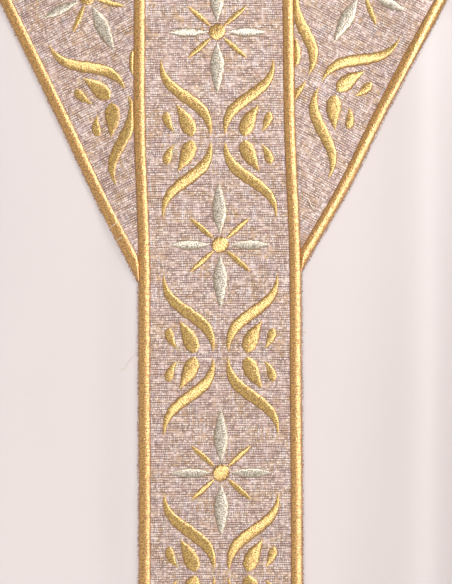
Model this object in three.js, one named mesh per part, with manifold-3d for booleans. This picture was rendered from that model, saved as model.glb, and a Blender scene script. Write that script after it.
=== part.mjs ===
// Chasuble: the outer vestment worn for the mass, a wide cloth with a neck opening and open sides.
// It is shown worn on a general figure that isn't built, so the cloth stands hollow.
// Millimetres. X is to the viewer's right, the front faces -Y, Z is up, and the origin is the middle
// of the neck opening at the height where the garment rests on the shoulders.
import * as THREE from 'three';
import { mergeVertices } from 'three/addons/utils/BufferGeometryUtils.js';
import Module from 'manifold-3d';

const wasm = await Module();
wasm.setup();

// Driving dimensions
const SEAM_GAP = 0.3;
const CLOTH = 2;
const NECK_HALF_WIDTH = 94;
const HALF_WIDTH = 503;
const SIDE_HEM_DROP = 640;
const BAND_WIDTH = 159;
const BAND_THICK = 1.6;
const BORDER_WIDTH = 11;
const BORDER_THICK = 2.8;
const BINDING_GAP = 0.7;
const BINDING_HEIGHT = 8;
const BINDING_INSIDE = 3.2;
const BINDING_OUTSIDE = 3.6;

// Columns and rows of the cloth grid
const NECK_STEPS = 6;
const SIDE_STEPS = 20;
const ROWS = 21;
const DENSE_PART = 0.3;
const SIDE_CROWDING = 1.35;

// The ridge over both shoulders and along the arms, seen from the front. The rows inside the neck's
// half width only carry the surface on to the neck opening, which is cut out of it.
const RIDGE = [
  { x: 0, drop: -25 },
  { x: 48, drop: -17 },
  { x: 94, drop: 0 },
  { x: 150, drop: 21 },
  { x: 215, drop: 56 },
  { x: 270, drop: 118 },
  { x: 340, drop: 232 },
  { x: 420, drop: 372 },
  { x: 503, drop: 520 },
];

// One row for each level of the centre line: how far the cloth stands off the ridge's plane.
const FRONT_CENTRE = [
  { drop: -30, depth: 68 },
  { drop: 85, depth: 80 },
  { drop: 166, depth: 108 },
  { drop: 271, depth: 134 },
  { drop: 435, depth: 152 },
  { drop: 740, depth: 166 },
  { drop: 1215, depth: 186 },
];
const BACK_CENTRE = [
  { drop: -30, depth: 64 },
  { drop: 20, depth: 69 },
  { drop: 150, depth: 106 },
  { drop: 300, depth: 126 },
  { drop: 500, depth: 134 },
  { drop: 800, depth: 150 },
  { drop: 1260, depth: 184 },
];

// The largest folds, a row each: place across at the start and at the hem, where it starts,
// half width at the start and at the hem, and height at the hem (a valley's is negative).
const FRONT_FOLDS = [
  { top: 134, hem: 112, start: 200, narrow: 26, wide: 34, height: -7 },
  { top: 214, hem: 200, start: 250, narrow: 42, wide: 58, height: 24 },
  { top: 275, hem: 282, start: 200, narrow: 30, wide: 42, height: -34 },
  { top: 325, hem: 344, start: 260, narrow: 28, wide: 42, height: 38 },
  { top: 385, hem: 404, start: 360, narrow: 24, wide: 34, height: -26 },
  { top: 438, hem: 456, start: 450, narrow: 22, wide: 26, height: 16 },
  { top: -128, hem: -122, start: 160, narrow: 26, wide: 32, height: -5 },
  { top: -238, hem: -236, start: 330, narrow: 40, wide: 56, height: 36 },
  { top: -300, hem: -312, start: 260, narrow: 28, wide: 42, height: -34 },
  { top: -352, hem: -374, start: 330, narrow: 26, wide: 36, height: 32 },
  { top: -406, hem: -428, start: 420, narrow: 24, wide: 30, height: -20 },
  { top: -450, hem: -466, start: 500, narrow: 20, wide: 24, height: 13 },
  { top: 20, hem: 66, start: 640, narrow: 60, wide: 90, height: 9 },
];
const BACK_FOLDS = [
  { top: 30, hem: 12, start: 260, narrow: 34, wide: 56, height: 30 },
  { top: 96, hem: 104, start: 330, narrow: 30, wide: 46, height: -34 },
  { top: 168, hem: 190, start: 180, narrow: 34, wide: 48, height: 38 },
  { top: 238, hem: 268, start: 220, narrow: 28, wide: 42, height: -36 },
  { top: 306, hem: 344, start: 260, narrow: 28, wide: 38, height: 34 },
  { top: 384, hem: 416, start: 390, narrow: 24, wide: 32, height: -22 },
  { top: -44, hem: -72, start: 420, narrow: 32, wide: 46, height: -30 },
  { top: -124, hem: -146, start: 210, narrow: 34, wide: 50, height: 36 },
  { top: -196, hem: -222, start: 280, narrow: 30, wide: 42, height: -36 },
  { top: -262, hem: -300, start: 200, narrow: 28, wide: 44, height: 38 },
  { top: -352, hem: -380, start: 340, narrow: 26, wide: 34, height: -24 },
  { top: -424, hem: -446, start: 440, narrow: 22, wide: 26, height: 18 },
];

// The two arms of the Y: the side, the level where each one's outer edge meets the column, and how far
// it leans from upright. They hang a little unevenly.
const ARMS = [
  { name: 'orphrey_arm_left', side: -1, junctionDrop: 435, lean: 26 },
  { name: 'orphrey_arm_right', side: 1, junctionDrop: 427, lean: 29.2 },
];

// What differs between the two cut panels. `out` is the way each one faces along Y.
const FRONT = { out: -1, centre: FRONT_CENTRE, folds: FRONT_FOLDS, neckDepth: 86, round: 150, hemDrop: 1215 };
const BACK = { out: 1, centre: BACK_CENTRE, folds: BACK_FOLDS, neckDepth: 64, round: 80, hemDrop: 1255 };
const ARM_DEPTH = 50;
const ARM_ROUND = 60;
const CHEST_HALF_WIDTH = 330;
const FOLD_GROWTH = 620;
const BAND_PROUD = 5;
const BAND_FALL = 42;

const IVORY = new THREE.MeshStandardMaterial({ color: 0xefe5e3, roughness: 0.62, metalness: 0 });
const LAME = new THREE.MeshStandardMaterial({ color: 0xcdb19c, roughness: 0.5, metalness: 0.25 });

// A smooth curve through the rows of a table, from the column it runs along to the column it gives.
function curve(rows, along, given) {
  const at = rows.map((row) => row[along]);
  const value = rows.map((row) => row[given]);
  const last = rows.length - 1;
  const slope = value.map((_, i) => {
    const before = Math.max(i - 1, 0);
    const after = Math.min(i + 1, last);
    return (value[after] - value[before]) / (at[after] - at[before]);
  });
  return (wanted) => {
    const x = THREE.MathUtils.clamp(wanted, at[0], at[last]);
    const i = Math.max(at.findIndex((end) => end >= x) - 1, 0);
    const width = at[i + 1] - at[i];
    const t = (x - at[i]) / width;
    const start = value[i] * (1 + 2 * t) * (1 - t) ** 2 + slope[i] * width * t * (1 - t) ** 2;
    const end = value[i + 1] * (3 - 2 * t) * t ** 2 + slope[i + 1] * width * (t - 1) * t ** 2;
    return start + end;
  };
}

const ridgeDrop = curve(RIDGE, 'x', 'drop');

// How high the folds stand at a place across and a level, growing from each one's start to the hem.
function foldHeight(folds, x, drop) {
  let height = 0;
  for (const fold of folds) {
    const grown = THREE.MathUtils.smoothstep(drop, fold.start, fold.start + FOLD_GROWTH);
    const middle = fold.top + (fold.hem - fold.top) * grown;
    const halfWidth = fold.narrow + (fold.wide - fold.narrow) * grown;
    height += fold.height * grown * Math.exp(-(((x - middle) / halfWidth) ** 2));
  }
  return height;
}

// How far a panel's outer face stands off the ridge's plane: the figure's depth, the folds and the
// step beside the stiff band, rounded off to nothing at the ridge by a quarter ellipse.
function panelSurface(panel) {
  const centre = curve(panel.centre, 'drop', 'depth');
  return (x, drop) => {
    const across = Math.abs(x);
    const chest = Math.exp(-((across / CHEST_HALF_WIDTH) ** 4));
    const figure = ARM_DEPTH + (centre(drop) - ARM_DEPTH) * chest;
    const beside = THREE.MathUtils.clamp((-x - BAND_WIDTH / 2) / BAND_FALL, 0, 1);
    const step = panel === FRONT ? -BAND_PROUD * THREE.MathUtils.smoothstep(beside, 0, 1) : 0;
    const toArm = THREE.MathUtils.smoothstep(across, NECK_HALF_WIDTH, HALF_WIDTH);
    const round = panel.round + (ARM_ROUND - panel.round) * toArm;
    const down = THREE.MathUtils.clamp((drop - ridgeDrop(across)) / round, 0, 1);
    return (figure + step + foldHeight(panel.folds, x, drop)) * Math.sqrt(1 - (1 - down) ** 2);
  };
}

// The level of the neck opening's edge: an ellipse seen from above, found on the surface by halving.
function necklineDrop(panel, surface, x) {
  const wanted = panel.neckDepth * Math.sqrt(1 - (x / NECK_HALF_WIDTH) ** 2);
  let high = ridgeDrop(Math.abs(x));
  let low = high + panel.round;
  for (let halving = 0; halving < 30; halving += 1) {
    const middle = (high + low) / 2;
    if (surface(x, middle) < wanted) high = middle;
    else low = middle;
  }
  return low;
}

// The hem seen from the front: level at the centre, round at the sides, ending at the side edge.
function hemDrop(panel, x) {
  const inward = 1 - (Math.abs(x) / HALF_WIDTH) ** 2.6;
  return SIDE_HEM_DROP + (panel.hemDrop - SIDE_HEM_DROP) * Math.max(inward, 0) ** (1 / 2.2);
}

// Where the grid's columns stand across: close together round the neck and at the side edges.
function columnPlaces() {
  const right = [];
  for (let i = 1; i <= NECK_STEPS; i += 1) {
    right.push(NECK_HALF_WIDTH * Math.sin((i / NECK_STEPS) * (Math.PI / 2)));
  }
  for (let i = 1; i <= SIDE_STEPS; i += 1) {
    const along = 1 - (1 - i / SIDE_STEPS) ** SIDE_CROWDING;
    right.push(NECK_HALF_WIDTH + (HALF_WIDTH - NECK_HALF_WIDTH) * along);
  }
  return [...right.map((x) => -x).reverse(), 0, ...right];
}

// The share of a column's height above each row: rows lie close together over the shoulder.
function rowShare(row) {
  const v = row / ROWS;
  const scale = 1 / (2 * DENSE_PART - DENSE_PART ** 2);
  if (v < DENSE_PART) return scale * v ** 2;
  return scale * (DENSE_PART ** 2 + 2 * DENSE_PART * (v - DENSE_PART));
}

// The grid of one panel: its outer points and the outward direction at each.
function panelGrid(panel) {
  const surface = panelSurface(panel);
  const places = columnPlaces();
  const points = [];
  for (let row = 0; row <= ROWS; row += 1) {
    points.push(places.map((x) => {
      const inNeck = Math.abs(x) < NECK_HALF_WIDTH - 0.01;
      const top = inNeck ? necklineDrop(panel, surface, x) : ridgeDrop(Math.abs(x));
      const drop = top + (hemDrop(panel, x) - top) * rowShare(row);
      const off = Math.max(surface(x, drop), SEAM_GAP / 2);
      return new THREE.Vector3(x, panel.out * off, -drop);
    }));
  }
  const outward = points.map((line, row) => line.map((_, col) => {
    const left = line[Math.max(col - 1, 0)];
    const right = line[Math.min(col + 1, line.length - 1)];
    const above = points[Math.max(row - 1, 0)][col];
    const below = points[Math.min(row + 1, ROWS)][col];
    const across = right.clone().sub(left);
    const normal = across.cross(below.clone().sub(above)).multiplyScalar(panel.out);
    const onSeam = row === 0 && Math.abs(places[col]) > NECK_HALF_WIDTH - 0.01;
    if (onSeam) {
      const slope = (ridgeDrop(Math.abs(places[col]) + 1) - ridgeDrop(Math.abs(places[col]) - 1)) / 2;
      normal.set(Math.sign(places[col]) * slope, 0, 1);
    }
    return normal.normalize();
  }));
  return { points, outward, out: panel.out };
}

// A closed geometry from an outer and an inner grid of points and the quads round its four edges.
function gridSolid(outer, inner, out) {
  const rows = outer.length;
  const cols = outer[0].length;
  const position = [];
  for (const grid of [outer, inner]) {
    for (const line of grid) {
      for (const point of line) position.push(point.x, point.y, point.z);
    }
  }
  const index = [];
  const at = (layer, row, col) => (layer * rows + row) * cols + col;
  const quad = (a, b, c, d) => {
    if (out < 0) index.push(a, b, c, a, c, d);
    else index.push(a, c, b, a, d, c);
  };
  for (let row = 0; row < rows - 1; row += 1) {
    for (let col = 0; col < cols - 1; col += 1) {
      quad(at(0, row, col), at(0, row + 1, col), at(0, row + 1, col + 1), at(0, row, col + 1));
      quad(at(1, row, col), at(1, row, col + 1), at(1, row + 1, col + 1), at(1, row + 1, col));
    }
  }
  for (let col = 0; col < cols - 1; col += 1) {
    const end = rows - 1;
    quad(at(0, 0, col), at(0, 0, col + 1), at(1, 0, col + 1), at(1, 0, col));
    quad(at(0, end, col), at(1, end, col), at(1, end, col + 1), at(0, end, col + 1));
  }
  for (let row = 0; row < rows - 1; row += 1) {
    const end = cols - 1;
    quad(at(0, row, 0), at(1, row, 0), at(1, row + 1, 0), at(0, row + 1, 0));
    quad(at(0, row, end), at(0, row + 1, end), at(1, row + 1, end), at(1, row, end));
  }
  const geometry = new THREE.BufferGeometry();
  geometry.setAttribute('position', new THREE.Float32BufferAttribute(position, 3));
  geometry.setIndex(index);
  return geometry;
}

// A sheet between two distances off a panel's outer face, along its outward directions.
function sheet(grid, near, far) {
  const moved = (distance) => grid.points.map((line, row) => line.map((point, col) => (
    point.clone().addScaledVector(grid.outward[row][col], distance)
  )));
  return gridSolid(moved(far), moved(near), grid.out);
}

function toManifold(geometry) {
  const bare = geometry.clone();
  bare.deleteAttribute('normal');
  bare.deleteAttribute('uv');
  const merged = mergeVertices(bare, 1e-4);
  return new wasm.Manifold(new wasm.Mesh({
    numProp: 3,
    vertProperties: new Float32Array(merged.attributes.position.array),
    triVerts: new Uint32Array(merged.index.array),
  }));
}

function fromManifold(solid) {
  const mesh = solid.getMesh();
  const geometry = new THREE.BufferGeometry();
  geometry.setAttribute('position', new THREE.BufferAttribute(new Float32Array(mesh.vertProperties), 3));
  geometry.setIndex(new THREE.BufferAttribute(new Uint32Array(mesh.triVerts), 1));
  return geometry;
}

// A block with the given outline in the front view, reaching forward from the ridge's plane.
function frontBlock(corners) {
  const outline = new THREE.Shape(corners.map(([x, z]) => new THREE.Vector2(x, z)));
  const block = new THREE.ExtrudeGeometry(outline, { depth: 400, bevelEnabled: false });
  return toManifold(block.rotateX(Math.PI / 2));
}

// A band on the front panel: woven ground cut to its outline, thicker under the satin borders.
function band(grid, outline, borders) {
  const ground = toManifold(sheet(grid, SEAM_GAP, SEAM_GAP + BAND_THICK));
  const raised = toManifold(sheet(grid, SEAM_GAP, SEAM_GAP + BORDER_THICK));
  let solid = ground.intersect(frontBlock(outline));
  for (const border of borders) solid = solid.add(raised.intersect(frontBlock(border)));
  return fromManifold(solid);
}

const BEYOND = 150;
const HALF_BAND = BAND_WIDTH / 2;

function columnBand(grid) {
  const bottom = -FRONT.hemDrop - BEYOND;
  const strip = (left, right) => [[left, bottom], [right, bottom], [right, BEYOND], [left, BEYOND]];
  const inner = HALF_BAND - BORDER_WIDTH;
  return band(grid, strip(-HALF_BAND, HALF_BAND), [strip(-HALF_BAND, -inner), strip(inner, HALF_BAND)]);
}

// One arm of the Y, from its point beside the column up to the shoulder seam. The outer edge is a
// straight line in the front view, and the inner edge lies along the column.
function armBand(grid, { side, junctionDrop, lean }) {
  const angle = THREE.MathUtils.degToRad(lean);
  const inside = HALF_BAND + SEAM_GAP;
  const outerEdge = (z, moved) => {
    const rise = z + junctionDrop;
    return HALF_BAND + rise * Math.tan(angle) - moved / Math.cos(angle);
  };
  const meeting = (moved) => (SEAM_GAP + moved / Math.cos(angle)) / Math.tan(angle) - junctionDrop;
  const outline = [[inside, meeting(0)], [outerEdge(BEYOND, 0), BEYOND], [inside, BEYOND]];
  const border = [
    [inside, meeting(0)],
    [outerEdge(BEYOND, 0), BEYOND],
    [outerEdge(BEYOND, BORDER_WIDTH), BEYOND],
    [inside, meeting(BORDER_WIDTH)],
  ];
  const mirrored = (corners) => (side > 0 ? corners : corners.map(([x, z]) => [-x, z]).reverse());
  return band(grid, mirrored(outline), [mirrored(border)]);
}

// The binding: a strip round the edge of the neck opening, a little thicker than cloth and band.
function neckBinding(front, back) {
  const inNeck = (point) => Math.abs(point.x) < NECK_HALF_WIDTH + 0.01;
  const edge = (grid) => grid.points[0]
    .map((point, col) => ({ point, outward: grid.outward[0][col] }))
    .filter(({ point }) => inNeck(point));
  const loop = [...edge(front), ...edge(back).reverse().slice(1, -1)];
  for (const station of loop) {
    if (Math.abs(station.point.y) < SEAM_GAP) station.point = station.point.clone().setY(0);
  }
  const corners = [
    [BINDING_GAP, -BINDING_INSIDE],
    [BINDING_GAP + BINDING_HEIGHT, -BINDING_INSIDE],
    [BINDING_GAP + BINDING_HEIGHT, BINDING_OUTSIDE],
    [BINDING_GAP, BINDING_OUTSIDE],
  ];
  const position = [];
  loop.forEach(({ point, outward }, i) => {
    const before = loop.at(i - 1).point;
    const after = loop[(i + 1) % loop.length].point;
    const inward = outward.clone().cross(after.clone().sub(before)).normalize();
    for (const [up, off] of corners) {
      const corner = point.clone().addScaledVector(inward, up).addScaledVector(outward, off);
      position.push(corner.x, corner.y, corner.z);
    }
  });
  const index = [];
  const count = corners.length;
  for (let i = 0; i < loop.length; i += 1) {
    const next = (i + 1) % loop.length;
    for (let k = 0; k < count; k += 1) {
      const a = i * count + k;
      const b = i * count + ((k + 1) % count);
      const c = next * count + ((k + 1) % count);
      const d = next * count + k;
      index.push(a, b, c, a, c, d);
    }
  }
  const geometry = new THREE.BufferGeometry();
  geometry.setAttribute('position', new THREE.Float32BufferAttribute(position, 3));
  geometry.setIndex(index);
  return geometry;
}

const frontGrid = panelGrid(FRONT);
const backGrid = panelGrid(BACK);

const chasuble = new THREE.Group();
function piece(name, geometry, material) {
  const mesh = new THREE.Mesh(geometry, material);
  mesh.name = name;
  chasuble.add(mesh);
}

piece('front_panel', sheet(frontGrid, -CLOTH, 0), IVORY);
piece('back_panel', sheet(backGrid, -CLOTH, 0), IVORY);
piece('orphrey_column', columnBand(frontGrid), LAME);
for (const arm of ARMS) piece(arm.name, armBand(frontGrid, arm), LAME);
piece('neck_binding', neckBinding(frontGrid, backGrid), IVORY);

export default chasuble;
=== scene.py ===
# A chasuble worn hollow on a general figure: ivory panels, a Y-shaped band with satin borders,
# leaves and stars in gold and silver thread. Metres in Blender; the cut's own sizes are millimetres.
import bpy
import numpy as np
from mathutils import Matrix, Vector


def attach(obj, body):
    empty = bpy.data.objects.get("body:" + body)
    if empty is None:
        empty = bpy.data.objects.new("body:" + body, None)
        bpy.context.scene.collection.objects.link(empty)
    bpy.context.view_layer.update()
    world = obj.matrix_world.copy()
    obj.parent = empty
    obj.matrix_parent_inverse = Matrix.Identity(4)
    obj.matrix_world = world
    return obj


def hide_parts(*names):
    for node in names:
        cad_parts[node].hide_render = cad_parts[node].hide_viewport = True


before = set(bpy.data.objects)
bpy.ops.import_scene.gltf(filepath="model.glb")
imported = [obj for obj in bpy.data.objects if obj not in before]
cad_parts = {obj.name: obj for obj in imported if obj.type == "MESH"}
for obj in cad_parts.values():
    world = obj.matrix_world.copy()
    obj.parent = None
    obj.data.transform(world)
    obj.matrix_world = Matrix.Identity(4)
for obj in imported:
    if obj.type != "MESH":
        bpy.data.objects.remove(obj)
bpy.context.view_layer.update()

# Front and back panels: smooth ivory cloth, each cut in one piece, joined in a seam over the shoulders
# and the arms, open at the sides and turned in at the hem. They hang in soft upright folds from the
# seam, and the front falls back a little beside the stiff band.
MM = 0.001
SEAM_GAP = 0.3
CLOTH_THICK = 1.2
NECK_HALF_WIDTH = 94.0
HALF_WIDTH = 503.0
SIDE_HEM_DROP = 640.0
BAND_WIDTH = 159.0
HALF_BAND = BAND_WIDTH / 2
BAND_PROUD = 5.0
BAND_FALL = 42.0
ARM_DEPTH = 50.0
ARM_ROUND = 60.0
CHEST_HALF_WIDTH = 330.0
FOLD_GROWTH = 620.0
HEM_TURNED = 17.0
HEM_BOW_ACROSS = 2.6
HEM_BOW_DOWN = 2.2
NECK_END_GAP = 0.01
HALVINGS = 40
# The shoulder ridge as place across and level, and each panel's middle line as level and depth.
RIDGE = [(0, -25), (48, -17), (94, 0), (150, 21), (215, 56), (270, 118), (340, 232), (420, 372), (503, 520)]
FRONT_CENTRE = [(-30, 68), (85, 80), (166, 108), (271, 134), (435, 152), (740, 166), (1215, 186)]
BACK_CENTRE = [(-30, 64), (20, 69), (150, 106), (300, 126), (500, 134), (800, 150), (1260, 184)]
# The folds, a row each: place across at the top and at the hem, where it starts, half width at the top
# and at the hem, and height.
FRONT_FOLDS = [
    (134, 112, 200, 26, 34, -7),
    (214, 200, 250, 42, 58, 24),
    (275, 282, 200, 30, 42, -34),
    (325, 344, 260, 28, 42, 38),
    (385, 404, 360, 24, 34, -26),
    (438, 456, 450, 22, 26, 16),
    (-128, -122, 160, 26, 32, -5),
    (-238, -236, 330, 40, 56, 36),
    (-300, -312, 260, 28, 42, -34),
    (-352, -374, 330, 26, 36, 32),
    (-406, -428, 420, 24, 30, -20),
    (-450, -466, 500, 20, 24, 13),
    (20, 66, 640, 60, 90, 9),
]
BACK_FOLDS = [
    (30, 12, 260, 34, 56, 30),
    (96, 104, 330, 30, 46, -34),
    (168, 190, 180, 34, 48, 38),
    (238, 268, 220, 28, 42, -36),
    (306, 344, 260, 28, 38, 34),
    (384, 416, 390, 24, 32, -22),
    (-44, -72, 420, 32, 46, -30),
    (-124, -146, 210, 34, 50, 36),
    (-196, -222, 280, 30, 42, -36),
    (-262, -300, 200, 28, 44, 38),
    (-352, -380, 340, 26, 34, -24),
    (-424, -446, 440, 22, 26, 18),
]
# The finer creases, a row each: place across, how far it drifts sideways, where it starts and ends,
# half width and height.
FRONT_CREASES = [
    (248, 30, 120, 520, 14, 4.6),
    (300, 42, 190, 700, 13, -5.4),
    (362, 34, 300, 860, 13, 6.0),
    (408, 26, 380, 900, 11, -4.6),
    (236, -20, 640, 1300, 17, -6.0),
    (150, 20, 700, 1400, 22, 6.4),
    (318, 8, 620, 1300, 16, 7.0),
    (204, -4, -420, 1350, 36, 18.0),
    (-262, -34, 140, 560, 14, 4.4),
    (-318, -40, 230, 760, 13, -5.8),
    (-380, -30, 330, 900, 13, 5.6),
    (-214, 16, 660, 1380, 19, -6.4),
    (-152, -14, 740, 1400, 22, 5.6),
    (-330, -10, 640, 1280, 16, 6.8),
    (-440, -14, 560, 960, 11, -4.0),
]
BACK_CREASES = [
    (62, 14, 320, 1000, 15, -3.6),
    (140, 22, 240, 820, 13, 3.4),
    (206, 34, 260, 900, 12, -3.2),
    (280, 44, 230, 760, 12, 3.4),
    (352, 36, 330, 900, 11, -3.0),
    (428, 18, 520, 980, 9, 2.2),
    (-8, -10, 380, 1120, 16, 3.2),
    (-86, -20, 340, 980, 14, -3.4),
    (-168, -30, 250, 860, 13, 3.6),
    (-240, -40, 280, 900, 12, -3.0),
    (-320, -36, 260, 800, 12, 3.2),
    (-400, -26, 430, 930, 10, -2.4),
]


def curve_through(points):
    """A smooth curve through pairs of numbers: cubic pieces, whose slope at each pair is that of its
    neighbours' chord."""
    at, value = np.array(points, float).T
    before = np.maximum(np.arange(len(at)) - 1, 0)
    after = np.minimum(np.arange(len(at)) + 1, len(at) - 1)
    slope = (value[after] - value[before]) / (at[after] - at[before])

    def curve(wanted):
        x = np.clip(wanted, at[0], at[-1])
        i = np.clip(np.searchsorted(at, x) - 1, 0, len(at) - 2)
        width = at[i + 1] - at[i]
        t = (x - at[i]) / width
        start = (value[i] * (1 + 2 * t) + slope[i] * width * t) * (1 - t) ** 2
        end = (value[i + 1] * (3 - 2 * t) + slope[i + 1] * width * (t - 1)) * t**2
        return start + end

    return curve


def paired(first, second):
    """Two sets of numbers spread to one shape, side by side in pairs."""
    return np.stack(np.broadcast_arrays(first, second), axis=-1)


def ease(value, start, end):
    """0 before start, 1 after end, and three parts square less two parts cube between them."""
    t = np.clip((value - start) / (end - start), 0, 1)
    return t * t * (3 - 2 * t)


ridge_drop = curve_through(RIDGE)
FRONT = {
    "out": -1, "depth": curve_through(FRONT_CENTRE), "folds": FRONT_FOLDS, "creases": FRONT_CREASES,
    "neck_depth": 86.0, "round": 150.0, "hem_drop": 1215.0, "beside_band": BAND_PROUD,
}
BACK = {
    "out": 1, "depth": curve_through(BACK_CENTRE), "folds": BACK_FOLDS, "creases": BACK_CREASES,
    "neck_depth": 64.0, "round": 80.0, "hem_drop": 1255.0, "beside_band": 0.0,
}


def fold_height(panel, x, drop):
    """The sum of the folds and creases: each a bell across, the folds growing to the hem, the creases
    swelling and dying away between their two ends."""
    total = np.zeros(np.broadcast(x, drop).shape)
    for top, hem, start, narrow, wide, height in panel["folds"]:
        grown = ease(drop, start, start + FOLD_GROWTH)
        middle = top + (hem - top) * grown
        half_width = narrow + (wide - narrow) * grown
        total += height * grown * np.exp(-(((x - middle) / half_width) ** 2))
    for across, drift, start, end, half_width, height in panel["creases"]:
        along = np.clip((drop - start) / (end - start), 0, 1)
        middle = across + drift * along
        swell = np.sin(np.pi * along) ** 2
        total += height * swell * np.exp(-(((x - middle) / half_width) ** 2))
    return total


def stand_off_squared(panel, x, drop):
    """The square of the outer face's distance from the ridge's plane: the figure's depth, folds and the
    step beside the band, times a quarter ellipse that is nothing at the ridge."""
    across = np.abs(x)
    chest = np.exp(-((across / CHEST_HALF_WIDTH) ** 4))
    figure = ARM_DEPTH + (panel["depth"](drop) - ARM_DEPTH) * chest
    step = panel["beside_band"] * ease(-x, HALF_BAND, HALF_BAND + BAND_FALL)
    round_height = panel["round"] + (ARM_ROUND - panel["round"]) * ease(across, NECK_HALF_WIDTH, HALF_WIDTH)
    down = np.minimum((drop - ridge_drop(across)) / round_height, 1)
    return (figure - step + fold_height(panel, x, drop)) ** 2 * (1 - (1 - down) ** 2)


def cloth_point(panel, x, drop, raised=0.0):
    """Points `raised` off a panel's outer face, in millimetres: the face moved along its normal, which
    comes from the slopes of the squared stand-off and so holds good right up to the shoulder seam."""
    x, drop, raised = np.broadcast_arrays(np.asarray(x, float), drop, raised)
    off = np.sqrt(np.maximum(stand_off_squared(panel, x, drop), (SEAM_GAP / 2) ** 2))
    small = 0.25
    right = stand_off_squared(panel, x + small, drop)
    left = stand_off_squared(panel, x - small, drop)
    below = stand_off_squared(panel, x, drop + small)
    above = stand_off_squared(panel, x, drop - small)
    on_seam = off <= SEAM_GAP
    facing = np.where(on_seam, 0, 2 * off * panel["out"])
    normal = np.stack([(left - right) / (2 * small), facing, (below - above) / (2 * small)], axis=-1)
    normal /= np.linalg.norm(normal, axis=-1, keepdims=True)
    face = np.stack([x, panel["out"] * off, -drop], axis=-1)
    return face + normal * raised[..., None]


def close_in(near, far, holds):
    """The last place where a test holds and the first where it doesn't, by halving from near to far."""
    for _ in range(HALVINGS):
        middle = (near + far) / 2
        held = holds(middle)
        near = np.where(held, middle, near)
        far = np.where(held, far, middle)
    return near, far


def neckline_drop(panel, x):
    """The neck opening's level at a place across: where the face meets an ellipse seen from above."""
    wanted = panel["neck_depth"] ** 2 * (1 - (x / NECK_HALF_WIDTH) ** 2)
    ridge = ridge_drop(np.abs(x))
    return close_in(ridge, ridge + panel["round"], lambda drop: stand_off_squared(panel, x, drop) < wanted)[1]


def top_drop(panel, x):
    """Where a panel begins: the neck opening's edge in the middle and the ridge outside it."""
    inside = np.abs(x) < NECK_HALF_WIDTH - NECK_END_GAP
    held = np.where(inside, x, 0)
    return np.where(inside, neckline_drop(panel, held), ridge_drop(np.abs(x)))


def hem_drop(panel, x):
    """The hem's level: the side edge's end plus the rest times the bow of a squared ellipse."""
    inward = np.maximum(1 - (np.abs(x) / HALF_WIDTH) ** HEM_BOW_ACROSS, 0)
    return SIDE_HEM_DROP + (panel["hem_drop"] - SIDE_HEM_DROP) * inward ** (1 / HEM_BOW_DOWN)


def new_mesh(name, points, faces, uv_maps):
    """A mesh object at the origin from points in millimetres, quads and one UV pair a point and map."""
    mesh = bpy.data.meshes.new(name)
    mesh.from_pydata((points * MM).tolist(), [], faces.tolist())
    corners = np.zeros(len(mesh.loops), np.int32)
    mesh.loops.foreach_get("vertex_index", corners)
    for map_name, uv in uv_maps.items():
        layer = mesh.uv_layers.new(name=map_name)
        layer.data.foreach_set("uv", (uv[corners] * MM).astype(np.float32).ravel())
    mesh.shade_smooth()
    piece = bpy.data.objects.new(name, mesh)
    bpy.context.scene.collection.objects.link(piece)
    return piece


def quads(corners):
    """Quads from four grids of point numbers, one grid a corner."""
    return np.stack([corner.ravel() for corner in corners], axis=1)


def shell(name, outer, inner, uv_maps, reverse=False):
    """A closed wall between an outer and an inner grid of points, with quads round its four edges."""
    rows, cols = outer.shape[:2]
    number = np.arange(rows * cols).reshape(rows, cols)
    under = number + rows * cols
    sides = [
        (number[:-1, :-1], number[1:, :-1], number[1:, 1:], number[:-1, 1:]),
        (under[:-1, :-1], under[:-1, 1:], under[1:, 1:], under[1:, :-1]),
        (number[0, :-1], number[0, 1:], under[0, 1:], under[0, :-1]),
        (number[-1, :-1], under[-1, :-1], under[-1, 1:], number[-1, 1:]),
        (number[:-1, 0], under[:-1, 0], under[1:, 0], number[1:, 0]),
        (number[:-1, -1], number[1:, -1], under[1:, -1], under[:-1, -1]),
    ]
    faces = np.concatenate([quads(side) for side in sides])
    if reverse:
        faces = faces[:, ::-1]
    points = np.concatenate([outer.reshape(-1, 3), inner.reshape(-1, 3)])
    doubled = {key: np.concatenate([uv.reshape(-1, 2)] * 2) for key, uv in uv_maps.items()}
    return new_mesh(name, points, faces, doubled)


def set_inputs(node, inputs):
    """Gives each of a shader node's inputs a number, a colour or another node's socket."""
    for key, value in inputs.items():
        if isinstance(value, bpy.types.NodeSocket):
            node.id_data.links.new(value, node.inputs[key])
        else:
            node.inputs[key].default_value = value


def add_node(tree, kind, inputs=None, **settings):
    """A shader node with its settings and inputs."""
    made = tree.nodes.new(kind)
    for key, value in settings.items():
        setattr(made, key, value)
    set_inputs(made, inputs or {})
    return made


def maths(tree, operation, first, second=0.0, third=0.0):
    """The result of a Math node."""
    return add_node(tree, "ShaderNodeMath", {0: first, 1: second, 2: third}, operation=operation).outputs[0]


def blend_colour(tree, share, first, second, most=None):
    """The result of a Mix node on colours, whose share may be cut down to at most `most`."""
    held = maths(tree, "MULTIPLY", share, most) if most else share
    return add_node(tree, "ShaderNodeMix", {0: held, 6: first, 7: second}, data_type="RGBA").outputs[2]


def ramp(tree, value, low, high):
    """A value carried from low..high to 0..1 and held at the ends."""
    return add_node(tree, "ShaderNodeMapRange", {0: value, 1: low, 2: high}, clamp=True).outputs[0]


def stretched_noise(tree, place, across, along, detail=2.0):
    """Noise on a UV place in metres, whose grains are `across` by `along` millimetres."""
    size = (1 / (across * MM), 1 / (along * MM), 1)
    spread = add_node(tree, "ShaderNodeMapping", {"Vector": place, "Scale": size})
    inputs = {"Vector": spread.outputs[0], "Scale": 1.0, "Detail": detail, "Roughness": 0.55}
    return add_node(tree, "ShaderNodeTexNoise", inputs, noise_dimensions="2D").outputs["Fac"]


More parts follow.
